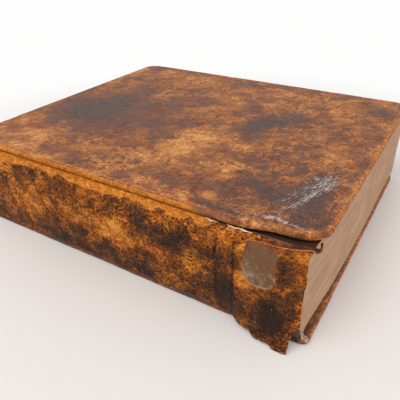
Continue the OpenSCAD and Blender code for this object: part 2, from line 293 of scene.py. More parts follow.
class Nodes:
    """A tree of nodes and short ways to add to it."""

    def __init__(self, tree):
        self.tree = tree

    def join(self, value, socket):
        """Sets a socket to a value, or links it to the output of a node."""
        if isinstance(value, bpy.types.NodeSocket):
            self.tree.links.new(value, socket)
        else:
            socket.default_value = value

    def add(self, kind, inputs=(), **settings):
        """Adds a node with its inputs, by name or in order."""
        node = self.tree.nodes.new("ShaderNode" + kind)
        for key, value in settings.items():
            setattr(node, key, value)
        for key, value in inputs.items() if isinstance(inputs, dict) else enumerate(inputs):
            self.join(value, node.inputs[key])
        return node

    def math(self, operation, *inputs):
        return self.add("Math", inputs, operation=operation).outputs[0]

    def vector(self, operation, *inputs):
        return self.add("VectorMath", inputs, operation=operation)

    def show(self, share, first, second, output):
        """Sends a mix of two shaders to the output."""
        both = self.add("MixShader", (share, first.outputs[0], second.outputs[0]))
        self.join(both.outputs[0], self.tree.nodes[output].inputs["Surface"])


class Finish(Nodes):
    """A material and short ways to build it."""

    def __init__(self, name, specular=0.5):
        self.material = bpy.data.materials.new(name)
        self.material.use_nodes = True
        super().__init__(self.material.node_tree)
        self.shader = self.tree.nodes["Principled BSDF"]
        self.place = self.add("TexCoord").outputs["Object"]
        self.join(specular, self.shader.inputs["Specular IOR Level"])

    def field(self, name):
        return self.add("Attribute", attribute_name=name).outputs["Fac"]

    def times(self, a, b):
        return self.math("MULTIPLY", a, b)

    def plus(self, *terms):
        """The sum of values, each alone or in a pair with its weight."""
        values = [self.times(*v) if isinstance(v, tuple) else v for v in terms]
        total = values[0]
        for v in values[1:]:
            total = self.math("ADD", total, v)
        return total

    def stretched(self, scale, turn=(0, 0, 0)):
        """The place on the object, turned and then scaled along each axis."""
        turn = [radians(a) for a in turn]
        turned = self.add("Mapping", {"Vector": self.place, "Rotation": turn}).outputs[0]
        return self.vector("MULTIPLY", turned, scale).outputs[0]

    def noise(self, size, detail, rough, warp=0, place=None, amount=None):
        """Noise with lumps of about size millimetres. With an amount, it is centred on 0."""
        out = self.add("TexNoise", {
            "Vector": place or self.place, "Scale": 1 / (size * MM), "Detail": detail,
            "Roughness": rough, "Distortion": warp}).outputs["Fac"]
        return out if amount is None else self.math("MULTIPLY_ADD", out, 2 * amount, -amount)

    def cells(self, size, feature, place):
        return self.add("TexVoronoi", {"Vector": place, "Scale": 1 / (size * MM)},
                        feature=feature).outputs["Distance"]

    def step(self, value, low, high, to_low=0, to_high=1):
        """A smooth step from to_low to to_high as the value passes from low to high."""
        return self.add("MapRange", (value, low, high, to_low, to_high),
                        interpolation_type="SMOOTHSTEP").outputs[0]

    def ramp(self, value, stops):
        """Colours that follow each other as the value rises."""
        node = self.add("ValToRGB", [value])
        points = node.color_ramp.elements
        for point, (place, rgb) in zip(points, (stops[0], stops[-1])):
            point.position, point.color = place, linear(rgb)
        for place, rgb in stops[1:-1]:
            points.new(place).color = linear(rgb)
        return node.outputs[0]

    def blend(self, share, a, b, kind="MIX"):
        a, b = (linear(v) if isinstance(v, tuple) else v for v in (a, b))
        node = self.add("Mix", {0: share, 6: a, 7: b}, data_type="RGBA", blend_type=kind)
        return node.outputs[2]

    def over(self, colour, value, low, high, other, share=1):
        """Lays another colour over one, the more the further the value passes from low to high."""
        return self.blend(self.step(value, low, high, 0, share), colour, other)

    def finish(self, colour, rough, height, depth):
        """Joins the colour, the roughness and a bump of so many millimetres to the shader."""
        bump = self.add("Bump", {"Height": height, "Distance": depth * MM, "Strength": 1})
        for key, value in ("Base Color", colour), ("Roughness", rough), ("Normal", bump.outputs[0]):
            self.join(value, self.shader.inputs[key])
        return self.material


# Fresh orange leather; on the front cover's underside and on the spine's shelf it also serves as
# painted light
WARM_AND_LIT_TONES = [
    (0.15, (134, 72, 16)), (0.42, (172, 98, 24)), (0.62, (190, 114, 34)), (0.88, (212, 144, 66))]
RUB_TONES = [
    (0.15, (112, 58, 24)), (0.42, (168, 92, 36)), (0.62, (198, 118, 52)), (0.85, (218, 152, 92))]
SCRATCH_COLOUR = (206, 190, 184)
# The size, the distortion and the width of two nets of thin cracks
CRACK_NETS = [(7, 1.2, 0.16), (3.4, 0.8, 0.26)]


def leather(name, tones, grain, streak, turn, crust, vein, tint, weights, specular):
    """Old calf: a dark film over bare leather, in tones from bare to darkest.

    Fields: film_and_shade is how much of the film is left, with painted shade added in places,
    calm how even it lies, warm_and_lit how far fresh orange leather shows, with painted light
    added in places, rub how far it is rubbed to pale fibres, and scuff where white scratches lie.
    Crust is how far the film breaks into crumbs, and vein how far thin cracks run through it.
    The weights are those of its broad, grainy, speckled and zoned unevenness.
    """
    f = Finish(name, specular)
    drawn = f.stretched(streak, (0, 0, turn))
    broad = f.noise(9, 3, 0.6, 0.5, drawn, 1)
    grainy = f.noise(2.5, 4, 0.68, 0.6, drawn, 1)
    speck = f.noise(0.8, 3, 0.7, amount=1)
    zone = f.noise(32, 6, 0.62, 0.6, drawn, 1)
    slanted = f.stretched((0.8, 1, 1.3), (0, 0, 30))
    nets = [f.step(f.math("ABSOLUTE", f.noise(size, 4, 0.6, warp, slanted, 1)), 0, width, -vein, 0)
            for size, warp, width in CRACK_NETS]
    cracked = f.times(f.plus(*nets), f.step(f.noise(24, 3, 0.6, 0.5), 0.42, 0.6, 0.2, 1))
    lumps = f.add("TexNoise", {"Vector": f.place, "Scale": 1 / (3 * MM), "Detail": 3})
    shifted = f.vector("MULTIPLY", lumps.outputs["Color"], (2 * MM, 2 * MM, 2 * MM)).outputs[0]
    crumbs = f.cells(2.1, "DISTANCE_TO_EDGE", f.vector("ADD", drawn, shifted).outputs[0])
    split = f.step(crumbs, 0.02, 0.22, -crust, crust * 0.35)
    uneven = f.plus((broad, weights[0]), (grainy, weights[1]), (zone, weights[3]), split, cracked)
    restless = f.math("SUBTRACT", 1, f.field("calm"))
    level = f.plus(f.field("film_and_shade"), (uneven, restless), (speck, weights[2]))
    # The ramp starts below 0, so its places are squeezed into its range
    squeezed = [(0.8 * p + 0.2, rgb) for p, rgb in tones]
    colour = f.ramp(f.math("MULTIPLY_ADD", level, 0.8, 0.2), squeezed)
    shade = f.step(f.plus(f.noise(12, 3, 0.6, 0.4, amount=1), (grainy, 0.6)), 0, 0.25, 0, 0.55)
    colour = f.blend(shade, colour, f.blend(1, colour, tint, "MULTIPLY"))
    tone = f.plus(0.5, grainy, (speck, 0.6))
    for key, low, high, stops in (("warm_and_lit", 0.3, 0.7, WARM_AND_LIT_TONES), ("rub", 0.35, 0.75, RUB_TONES)):
        bared = f.step(f.plus(f.field(key), (grainy, 0.5), (broad, 0.4), (speck, 0.2)), low, high)
        colour = f.blend(bared, colour, f.ramp(tone, stops))
    scratch = f.noise(0.75, 4, 0.75, 0.5, f.stretched((0.16, 1, 1), (0, 0, 24)), 2.4)
    scuff = f.step(f.plus(f.field("scuff"), scratch, speck), 0.7, 1.05)
    colour = f.blend(f.times(scuff, 0.75), colour, SCRATCH_COLOUR)
    pores = f.cells(grain, "SMOOTH_F1", f.place)
    height = f.plus((pores, 0.25), (f.step(level, 0.3, 0.6), 0.3), (grainy, 0.55), (split, 0.5),
                    (scuff, 0.15), (bared, -0.25), (speck, 0.2))
    shine = f.plus((f.step(level, 0.4, 0.8), -0.14), (bared, 0.1), (grainy, 0.1), 0.64)
    return f.finish(colour, shine, height, 0.3)


def paper(name, clean, stained, spot, rough=0.85, fibre=0.12):
    """Old paper: uneven tone, brown spots and a fibrous face."""
    f = Finish(name)
    fine = f.noise(0.6, 4, 0.7)
    colour = f.over(clean, f.noise(30, 4, 0.6, 0.5), 0.35, 0.75, stained)
    colour = f.over(colour, f.noise(7, 3, 0.65, 0.3), 0.58, 0.68, spot, 0.6)
    colour = f.over(colour, fine, 0.4, 0.8, stained, 0.25)
    return f.finish(colour, rough, fine, fibre)


def browned(name, clean, stained, dark, spot):
    """Old paper, browned where the field "stain_and_shade" is high, which holds real stains and
    painted shade.
    """
    f = Finish(name, 0.1)
    broad = f.noise(24, 4, 0.6, 0.5, amount=0.5)
    stain_and_shade = f.plus(f.field("stain_and_shade"), f.noise(4, 4, 0.65, 0.3, amount=0.25), (broad, 0.4))
    colour = f.over(clean, broad, -0.1, 0.25, stained)
    colour = f.over(colour, f.noise(7, 3, 0.65, 0.3), 0.6, 0.7, spot, 0.5)
    colour = f.over(colour, stain_and_shade, 0.1, 0.6, spot, 0.85)
    colour = f.over(colour, stain_and_shade, 0.6, 1, dark)
    return f.finish(colour, 0.85, f.noise(0.6, 4, 0.7), 0.12)


LABEL_TONES = [
    (0, (150, 122, 96)), (0.22, (120, 92, 68)), (0.5, (100, 70, 48)), (0.7, (120, 80, 50)),
    (0.9, (92, 58, 38))]


def worn_label(name):
    """Paper rubbed thin on leather: greyish below, brown and fuzzy above and in the middle."""
    f = Finish(name, 0.2)
    blotch = f.noise(6, 5, 0.68, 0.5, amount=1)
    fine = f.noise(1, 4, 0.7, amount=1)
    colour = f.ramp(f.plus(f.field("worn"), (blotch, 1.2), (fine, 0.55)), LABEL_TONES)
    return f.finish(colour, 0.75, f.plus(fine, blotch), 0.15)


def leaf_edges(name):
    """The cut edges of the leaves: fine lines one above the other, dusty and stained, and darker
    near the covers as painted shade.
    """
    f = Finish(name, 0.1)
    fine = f.noise(0.3, 3, 0.7, 0, f.stretched((0.02, 0.02, 1)))
    bundles = f.noise(2.6, 3, 0.6, 0, f.stretched((0.006, 0.006, 1)))
    streaks = f.noise(5, 3, 0.6, 0.6, f.stretched((0.25, 0.25, 1), (0, 12, 0)))
    dust = f.noise(22, 4, 0.6, 0.5)
    stain_and_shade = f.plus(f.field("stain_and_shade"), f.noise(5, 4, 0.65, 0.4, amount=0.6))
    colour = f.over((178, 142, 112), bundles, 0.35, 0.68, (192, 156, 126))
    colour = f.over(colour, fine, 0.45, 0.78, (150, 116, 90), 0.22)
    colour = f.over(colour, streaks, 0.48, 0.72, (210, 186, 162), 0.45)
    colour = f.over(colour, dust, 0.42, 0.78, (152, 116, 88), 0.5)
    # Brown where stain_and_shade is high: stains, and painted shade near the covers
    colour = f.over(colour, stain_and_shade, 0.3, 1.1, (104, 66, 40), 0.85)
    return f.finish(colour, 0.88, f.plus(fine, (bundles, 1.5)), 0.14)


def fibre(name, pale, dark, turns):
    """Twisted thread or cord."""
    f = Finish(name, 0.2)
    strand = f.noise(0.5, 3, 0.6, 0, f.stretched((1, 0.25, 0.6), (0, 0, turns)))
    return f.finish(f.over(dark, strand, 0.35, 0.7, pale), 0.9, strand, 0.15)


COVER_TONES = [
    (-0.25, (208, 152, 92)), (-0.1, (188, 124, 62)), (0.06, (180, 120, 66)),
    (0.22, (168, 106, 56)), (0.4, (148, 92, 54)), (0.58, (122, 75, 48)), (0.78, (99, 60, 41)),
    (1, (76, 57, 48))]
SPINE_TONES = [
    (-0.25, (212, 140, 60)), (0, (186, 110, 34)), (0.16, (168, 94, 20)), (0.32, (138, 76, 18)),
    (0.48, (108, 60, 20)), (0.66, (78, 44, 20)), (0.95, (42, 25, 16))]
TORN_TONES = [
    (0.1, (190, 110, 48)), (0.35, (150, 80, 32)), (0.6, (96, 48, 24)), (0.9, (54, 30, 22))]

cover_calf = leather("cover_calf", COVER_TONES, 0.75, (0.8, 1, 1), 58, 0.09, 0.42, (206, 168, 168),
                     (0.52, 0.46, 0.62, 0.66), 0.18)
spine_calf = leather("spine_calf", SPINE_TONES, 0.9, (1, 0.8, 1), 0, 0.26, 0.34, (206, 154, 140),
                     (0.65, 0.5, 0.36, 0.35), 0.12)
torn_calf = leather("torn_calf", TORN_TONES, 0.8, (1, 0.5, 1), 0, 0.05, 0.1, (216, 176, 176),
                    (0.4, 0.6, 0.3, 0.1), 0.12)
lining_paper = paper("lining_paper", (206, 188, 158), (184, 156, 118), (150, 108, 68))
spine_paper = paper("spine_paper", (226, 212, 192), (200, 176, 144), (150, 110, 74), fibre=0.2)
# The spine lining, seen in the crack: dirty paper, darkened further as painted shade of the crack
joint_paper_dirt_and_shade = paper("joint_paper_dirt_and_shade", (112, 84, 58), (80, 54, 36), (52, 32, 22), fibre=0.2)
end_paper = browned("end_paper", (206, 184, 150), (188, 162, 124), (66, 40, 24), (150, 112, 72))
label_paper = worn_label("label_paper")
pasteboard = paper("pasteboard", (158, 132, 100), (126, 100, 72), (90, 66, 46), 0.95, 0.3)
page_edges = leaf_edges("page_edges")
hemp = fibre("hemp", (206, 184, 140), (142, 112, 74), 30)
linen = fibre("linen", (222, 208, 180), (164, 138, 104), 20)


# The covers

# How many points lie on the parts of an outline, and where its corners are split between two sides
CORNER_POINTS, WORN_POINTS = 12, 48
CORNER_SPLIT, WORN_SPLIT = 6, 36
FORE_POINTS, HEAD_POINTS = 150, 128
SPINE_POINTS = FORE_POINTS + CORNER_SPLIT - WORN_SPLIT
TAIL_POINTS = HEAD_POINTS + CORNER_SPLIT - (WORN_POINTS - WORN_SPLIT)
EDGE_STEPS, TURN_IN_SHARES = 14, (0.35, 0.7, 1)
EDGE_WEAR_W, EDGE_WEAR_DEPTH, FACE_WEAR_DEPTH = 5, 0.9, 0.6
# The edges are moved only outside these distances from the middle, in X and Y
MIDDLE_X, MIDDLE_Y = 100, 120
# How much film is left where nothing is worn, and the place along the spine to which the front
# joint is worn from the tail
COVER_FILM, SPINE_FILM_LEFT, INSIDE_FILM = 0.67, 0.6, 0.25
WORN_JOINT_END = -74
# The front cover's corner at the tail is worn in a long hollow curve
WORN_SHARES = [[0, 1], [0.03, 0.87], [0.11, 0.73], [0.24, 0.59], [0.3, 0.44], [0.31, 0.3],
               [0.41, 0.19], [0.64, 0.08], [1, 0]]


def worn_corner(w, h):
    return along(WORN_SHARES, shares(WORN_POINTS)) * (w, h)


def ring(front, spine_inset, inset, back, r):
    """A cover's outline, counter-clockwise from the end of its spine edge at the tail.

    It is moved in from the spine edge and from the other edges. Its round corners at the spine
    have the two reaches given, and those at the fore-edge have the radius r.
    """
    x0, x1, y1 = cover_lo[0] + spine_inset, cover_hi[0] - inset, cover_hi[1] - inset
    bw, bh = max(back[0], 0.5), max(back[1], 0.5)

    def turns(count):
        a = linspace(0, pi / 2, count)
        return cos(a), sin(a)

    c, s = turns(WORN_POINTS)
    tail = stack([bw * (1 - c), bh * (1 - s)], 1)
    if front:
        tail = worn_corner(worn_w - spine_inset, worn_h - inset)
    c, s = turns(CORNER_POINTS)
    arcs = [tail + (x0, -y1), stack([x1 - r + r * s, r - r * c - y1], 1),
            stack([x1 - r + r * c, y1 - r + r * s], 1),
            stack([x0 + bw * (1 - c[::-1]), y1 - bh * (1 - s[::-1])], 1)]
    parts = []
    for k, count in enumerate((TAIL_POINTS, FORE_POINTS, HEAD_POINTS, SPINE_POINTS)):
        start, end = arcs[k][-1], arcs[(k + 1) % 4][0]
        share = shares(count + 2)[1:-1, None]
        parts += [arcs[k], start + (end - start) * share]
    return concatenate(parts)


def cover_ring(front, spine_inset, inset):
    return ring(front, spine_inset, inset, (spine_corner_r - spine_inset, spine_corner_r - inset),
                corner_r - inset)


def filled(outline):
    """Points inside an outline: a grid stretched between its four sides. Returns rows of points."""
    n = len(outline)
    marks = cumsum([WORN_SPLIT, WORN_POINTS - WORN_SPLIT + TAIL_POINTS + CORNER_SPLIT,
                       CORNER_POINTS + FORE_POINTS, CORNER_POINTS + HEAD_POINTS])
    index = [arange(a, b + 1) % n for a, b in zip(marks, [*marks[1:], marks[0] + n])]
    tail, fore, head, back = [outline[i] for i in index]
    head, back = head[::-1], back[::-1]
    u = shares(len(tail))[None, :, None]
    v = shares(len(back))[:, None, None]
    sides = mix(tail[None], head[None], v) + mix(back[:, None], fore[:, None], u)
    flat = mix(mix(tail[0], tail[-1], u), mix(head[0], head[-1], u), v)
    return sides - flat, index


def edge_distances(x, y, front):
    """How far a place on a cover lies in from the spine edge, and from the other three edges."""
    x0, x1, y1 = cover_lo[0], cover_hi[0], cover_hi[1]
    spine, rest = x - x0, minimum(x1 - x, y1 - abs(y))
    for r, cx in (corner_r, x - (x1 - corner_r)), (spine_corner_r, x0 + spine_corner_r - x):
        cy = abs(y) - (y1 - r)
        rest = where((cx > 0) & (cy > 0), r - hypot(cx, cy), rest)
    if front:
        line = worn_corner(worn_w, worn_h) + (x0, -y1)
        for k, (p, d) in enumerate(zip(line, diff(line, axis=0))):
            s = clip(((x - p[0]) * d[0] + (y - p[1]) * d[1]) / (d @ d), 0, 1)
            near = hypot(x - p[0] - s * d[0], y - p[1] - s * d[1])
            if k < WORN_SPLIT:
                spine = minimum(spine, near)
            else:
                rest = minimum(rest, near)
    return spine, rest


def cover_form(front):
    """A cover's leather lying on its outside, before it is worn."""
    flat_ring = cover_ring(front, joint_r, edge_r)
    grid, index = filled(flat_ring)
    opening = ring(front, shell_t, turn_in_w, (leather_t, leather_t), leather_t)
    board = cover_ring(front, joint_r * 2 / 3, leather_t)
    lines = []
    for a in pi * arange(1, EDGE_STEPS + 1) / EDGE_STEPS:
        flat = 1 - sin(a)
        lines.append((cover_ring(front, joint_r * flat, edge_r * flat), joint_r * (1 - cos(a))))
    lines += [(mix(flat_ring, opening, share), shell_t) for share in TURN_IN_SHARES]
    lines += [(opening, board_top), (board, board_top), (board, leather_t)]
    n = len(flat_ring)
    rows, columns = grid.shape[:2]
    face = concatenate([grid, np.zeros((rows, columns, 1))], 2).reshape(-1, 3)
    points = concatenate([face] + [np.column_stack([line, np.full(n, z)]) for line, z in lines])
    # The first ring is the border of the face's grid
    order = arange(len(face)).reshape(rows, columns)
    border = np.zeros(n, int)
    for side, place in zip(index, (order[0], order[:, -1], order[-1, ::-1], order[::-1, 0])):
        border[side] = place
    at = [border] + [len(face) + k * n + arange(n) for k in range(len(lines))]
    faces = grid_faces(rows, columns)
    for low, high in zip(at, at[1:]):
        quads = stack([low, np.roll(low, -1), np.roll(high, -1), high], 1)
        faces += [tuple(quad) for quad in quads.tolist()]
    return points, faces + [tuple(at[-1].tolist())]


def worn_cover(points, spine, rest, seed):
    """Worn edges, a pressed line round the border, and leather that isn't quite flat."""
    x, y, z = points.T
    inside = minimum(spine, rest)
    worn = ease(1 - inside / EDGE_WEAR_W) * ease(shell_t - z)
    nick = clip(fractal(7, seed, x, y, z) - 0.25, 0, 1)
    push = worn * (0.16 + 0.2 * fractal(16, seed + 3, x, y, z, octaves=2) + 0.5 * nick)
    push = clip(push, 0, EDGE_WEAR_DEPTH)
    x = x - np.sign(x) * (abs(x) > MIDDLE_X) * push
    y = y - np.sign(y) * (abs(y) > MIDDLE_Y) * push
    line = exp(-((inside - fillet_inset) / 0.55) ** 2) * (0.65 + 0.5 * noise(18, seed + 5, x, y, z))
    lift = 0.16 + 0.12 * fractal(34, seed + 7, x, y, octaves=2) + 0.07 * fractal(6, seed + 8, x, y)
    pits = 0.25 * clip(fractal(4.5, seed + 12, x, y) - 0.55, 0, 1)
    sunk = lift * ease(inside / 9) + 0.22 * line + 0.5 * pits + 0.25 * worn * nick
    on_face = (z < joint_r + 0.01) & (inside > edge_r - 0.2)
    z = where(on_face, z + clip(sunk, 0, FACE_WEAR_DEPTH), z)
    return stack([x, y, z], 1), line


def cover_fields(points, spine, rest, line, places, seed, front):
    x, y, z = points.T
    film_places, scuff_places, calm_places = places
    inside = minimum(spine, rest)
    film_and_shade = COVER_FILM + patches(x, y, film_places, 22, seed + 20, 7) + 0.3 * line
    wander = noise(15, seed + 23, x, y)
    inner = ease((z - joint_r) / joint_r) * ease((inside - 3) / 6)
    under = ease((z - joint_r * 0.7) / joint_r)
    if front:
        intact = ease((y - WORN_JOINT_END) / 14)
        lip = exp(-(spine - 2.6) ** 2) * ((z < joint_r + 0.01) & (z < 1.2))
        uneven = 0.62 + 0.3 * fractal(14, seed + 24, x, y)
        rub = maximum(ease(1 - rest / (7 + 3 * wander)) * uneven, lip * mix(0.45, 0.75, intact))
        # Orange along the spine edge is real, but it grows brighter towards the underside, and
        # round the other edges only the underside is orange: painted light that lifts the shade of
        # the crease and of the rim's underside
        warm_and_lit = (ease(1 - spine / 2.4) * mix(0.75, 1, under) * intact * (1 - lip)
                + 0.55 * ease(1 - rest / 4) * under)
        film_and_shade = film_and_shade + ease(1 - spine / 5) * mix(-0.14, 0, intact)
    else:
        rub = ease(1 - rest / (5 + 2 * wander)) * mix(0.62, 0.5, under)
        warm_and_lit = 0 * x
        # The underside near the edges is darkened: painted shade of the gap between the leaves and
        # the back cover. The film along the spine edge is darker, as on the spine.
        film_and_shade = film_and_shade + 0.3 * ease(1 - inside / 4) * under + 0.3 * ease(1 - spine / 5)
    calm = clip(patches(x, y, calm_places, 22, seed + 27, 5), 0, 0.8)
    return {"film_and_shade": film_and_shade + 0.1 * inner, "calm": calm, "warm_and_lit": warm_and_lit, "rub": rub * (1 - 0.6 * inner),
            "scuff": patches(x, y, scuff_places, 9, seed + 25, 1.5)}


FRONT_FILM = [
    (-18, 91, 42, 36, 0.62), (12, 45, 15, 12, 0.3), (-25, 28, 46, 24, 0.16, -14),
    (-72, -98, 36, 26, 0.26, -20), (-95, -30, 16, 30, 0.12), (40, -100, 40, 24, 0.1),
    (15, -55, 28, 13, 0.44), (-81, -79, 17, 17, 0.3), (-75, -119, 38, 11, 0.48),
    (89, 11, 20, 12, 0.38), (15, -92, 12, 20, 0.25), (95, 113, 22, 5, 0.45, 35),
    (75, -125, 20, 6, 0.3), (45, 25, 20, 10, 0.25, 20), (-93, -7.7, 3.2, 3, 0.8),
    (10, 77, 4, 2.5, 0.5, 20), (-21, 122, 4, 4, 0.4), (-108, 38, 5, 60, 0.2),
    (-109, -60, 4, 40, 0.25), (-45, -88, 20, 14, 0.25), (30, -20, 24, 12, 0.2),
    (30, -62, 54, 30, 0.16), (-97, -102, 18, 18, 0.18), (-88, 105, 17, 30, -0.3),
    (-58, -5, 30, 10, -0.24, -8), (-8, -12, 32, 10, -0.1, -5), (-35, -27, 30, 12, -0.26, -15),
    (32, -9, 16, 8, -0.2), (-75, -65, 14, 10, -0.36), (-101, -63, 9, 9, -0.46),
    (82, 75, 19, 12, -0.2, 20), (-8, -69, 16, 10, -0.3), (79, -92, 20, 8, -0.2),
    (69, 11, 10, 8, -0.2), (2, -109, 22, 7, -0.24), (82, 130, 30, 5, -0.2), (59, -59, 12, 8, -0.2),
    (-112, 100, 4, 34, -0.25)]
FRONT_SCUFF = [
    (-80, -113.5, 26, 2.4, 0.72, -20), (-68, -111, 26, 8, 0.44, -20),
    (-52, -119, 12, 8, 0.52, -20), (-105.6, -111, 1.8, 15, 1, -4), (-108.8, -86, 1.5, 14, 0.5),
    (-88, -102, 14, 2, 0.3, -20)]
FRONT_CALM = [(-18, 88, 46, 38, 0.8), (-25, 30, 46, 22, 0.6, -14), (-70, -112, 30, 14, 0.35, -18)]
BACK_FILM = [
    (-40, 60, 50, 30, 0.35, 20), (50, -40, 46, 34, 0.3, -30), (60, 90, 30, 22, 0.3),
    (-60, -70, 30, 24, 0.2), (0, 0, 30, 60, -0.2, 40), (80, 20, 20, 30, -0.22)]
BACK_SCUFF = [(30, 60, 30, 8, 0.35, 30), (-60, -100, 20, 6, 0.4, 10)]


def make_cover(side, seed, *places):
    front = side == "front"
    points, faces = cover_form(front)
    spine, rest = edge_distances(points[:, 0], points[:, 1], front)
    points, line = worn_cover(points, spine, rest, seed)
    fields = cover_fields(points, spine, rest, line, places, seed, front)
    if front:
        points[:, 2] = book_t - points[:, 2]
    piece(side + "_cover_skin", (points, faces), cover_calf, [side + "_leather"],
          fields, side + "_cover")


make_cover("front", 11, FRONT_FILM, FRONT_SCUFF, FRONT_CALM)
make_cover("back", 47, BACK_FILM, BACK_SCUFF, [])


# The leather of the spine

ROUND_SHARES = [[-0.19, 0], [0.34, 0.008], [0.71, 0.055], [0.91, 0.15], [1, 0.28], [0.97, 0.42],
                [0.88, 0.57], [0.75, 0.71], [0.6, 0.83], [0.45, 0.93], [0.36, 1]]
LINE_PITCH, LINE_GAP, LINE_PAIRS = 34.4, 11, 6
LINE_PLACES = [(k - (LINE_PAIRS - 1) / 2) * LINE_PITCH + side * LINE_GAP / 2
               for k in range(LINE_PAIRS) for side in (-1, 1)]
TEAR_GAP, FLAP_H, FLAP_REACH = 0.8, 45, 13
tear_y = leather_tail + 3.4
flap_tail = tear_y + TEAR_GAP
crack_end = leather_tail + 61
FLAP_OUT_SHARES = [0.19, 0.42, 0.58, 0.78, 0.92, 0.96, 1]
FLAP_UP_SHARES = [1, 0.82, 0.49, 0.26, 0.18, 0.15, 0.12]
FLAP_FROM_SHARE, FLAP_ROOT_SHARE = 0.5, 0.3
FLAP_BOW_SHARES = [0.1, 0.35]
TEAR_FROM_SHARE, TEAR_COLUMNS = 0.79, 6
DEEP_LINES_END = -60
SPINE_ROWS, SPINE_AROUND = 78, 60


def round_point(t):
    """The outline of the rounded spine, X and Z, from the front joint down."""
    s = along(ROUND_SHARES, t)
    return (spine_x, spine_top) - s * (spine_reach, spine_top - spine_bottom)


def round_inside(t, depth):
    """The rounded spine's outline, moved in by a depth."""
    d = 0.025
    out = outward(round_point(maximum(t - d, 0)), round_point(minimum(t + d, 1)))
    return round_point(t) - depth * out


def flap_t(y):
    """From 0 where the loose leather is still fast, to 1 at its tail."""
    return 1 - (y - flap_tail) / FLAP_H


def spine_point(y, t):
    """The outside of the spine before it is roughened, X and Z."""
    base = round_point(t)
    s = clip((t - FLAP_FROM_SHARE) / (1 - FLAP_FROM_SHARE), 0, 1)[..., None]
    a = round_point(np.full(np.shape(t), FLAP_FROM_SHARE))
    c = stack([spine_x - along(FLAP_OUT_SHARES, flap_t(y)) * FLAP_REACH,
               along(FLAP_UP_SHARES, flap_t(y)) * spine_bottom], -1)
    b = stack([mix(a[..., 0], c[..., 0], FLAP_BOW_SHARES[0]),
               mix(c[..., 1], a[..., 1], FLAP_BOW_SHARES[1])], -1)
    loose = (1 - s) ** 2 * a + 2 * s * (1 - s) * b + s * s * c
    clings = clip((y - leather_tail) / (flap_tail - leather_tail), 0, 1)
    share = (ease(flap_t(y) / FLAP_ROOT_SHARE) * clings)[..., None]
    return where(t[..., None] <= FLAP_FROM_SHARE, base, mix(base, loose, share))


def spine_out(y, t):
    """The direction out of the spine, in X and Z."""
    d = 0.02
    return outward(spine_point(y, maximum(t - d, 0)), spine_point(y, minimum(t + d, 1)))


def spine_down(y, t):
    """The direction down round the spine."""
    out = spine_out(y, t)
    return stack([out[:, 1], 0 * out[:, 0], -out[:, 0]], 1)


def pressed(y, z):
    """How far the lines across the spine are pressed in. Those next to the label are deeper."""
    total = 0
    for k, p in enumerate(LINE_PLACES):
        deep, wide = (1.4, 0.85) if p < DEEP_LINES_END else (0.7, 0.6)
        total = total + deep * exp(-((y - p - 0.25 * noise(9, 60 + k, y, z)) / wide) ** 2)
    return total * (0.8 + 0.3 * noise(7, 77, y, z))


def lips(y):
    """Where leather stands up on both sides of a pressed line."""
    return sum(exp(-((abs(y - p) - 1.5) / 0.5) ** 2) for p in LINE_PLACES)


def crack_share(y):
    """How far round the spine the crack's edge is worn back from the front joint."""
    open_share = ease((crack_end - y) / 5)
    return open_share * (0.05 + 0.01 * noise(5, 91, y) + 0.008 * noise(1.7, 92, y))


def roughness(y, t, z):
    """How far the leather of the spine stands off its smooth form."""
    swell = 0.28 * noise(30, 31, y, z) + 0.12 * noise(9, 32, y, z)
    fine = 0.06 * fractal(2.6, 33, y * 0.7, z)
    raised = (swell + fine - 0.42 * pressed(y, z) + 0.1 * lips(y) - 0.25) * ease((t - 0.02) / 0.08)
    return maximum(raised, -leather_t)


def on_spine(y, t, lift=0):
    """A point over the roughened leather of the spine."""
    y, t = np.broadcast_arrays(np.asarray(y, float), np.asarray(t, float))
    p = spine_point(y, t)
    return with_y(p + spine_out(y, t) * (roughness(y, t, p[..., 1]) + lift)[..., None], y)


def spine_columns():
    """Places along the spine, close together at the pressed lines."""
    near, count, gap = 2.2, 13, 0.95
    plain = [y for y in arange(flap_tail, leather_head, gap)
             if all(abs(y - p) > near for p in LINE_PLACES)]
    fine = [p + s for p in LINE_PLACES for s in linspace(-near, near, count)]
    strip = list(linspace(leather_tail, tear_y, TEAR_COLUMNS))
    return array(strip + sorted(plain + fine) + [leather_head])


SPINE_FILM = [
    (75.7, 55.7, 12, 5.5, 0.3), (91, 46, 3, 5, 0.35), (62.5, 57, 1.2, 5, 0.4),
    (36, 53.7, 19, 8, 0.31, 4), (1, 50, 13, 9, 0.34, 5), (-27.5, 52.5, 13, 9.5, 0.46, 6),
    (-47, 47.5, 9, 7, 0.55), (-64, 50, 13, 10, 0.52), (-84, 32, 8, 24, 0.38),
    (-120.5, 49, 3, 8, 0.5), (-118, 18, 9, 12, 0.85, 10), (0, 13, 85, 11, 0.26),
    (40, 24, 20, 5, 0.2, 5), (-4, 21, 8, 6, 0.3), (-27, 16, 18, 8, 0.28), (-25, 9, 12, 4, 0.4),
    (110, 32, 13, 20, 0.15), (-70, 25, 14, 16, 0.25), (-100, 20, 8, 8, 0.2), (60, 8, 70, 7, 0.25),
    (-118, 4, 14, 3, 0.2), (-8.7, 37, 6, 13, -0.42), (67, 32, 15, 14, -0.22),
    (10, 35, 11, 8, -0.15), (-128, 45, 5, 26, -0.08), (-97, 42, 3, 18, -0.14),
    (-84, 60, 10, 5, -0.3), (-105, 31, 12, 5, -0.18), (120, 40, 6, 30, -0.1),
    (-105, 60, 18, 3, -0.15), (-91, 20, 7, 13, 0.28), (-131, 20, 3, 30, 0.2),
    (-100, 12, 8, 6, 0.12)]
SPINE_CALM = [(-118, 18, 9, 12, 0.75, 10), (-84, 25, 8, 14, 0.5), (-112, 50, 20, 14, 0.4)]


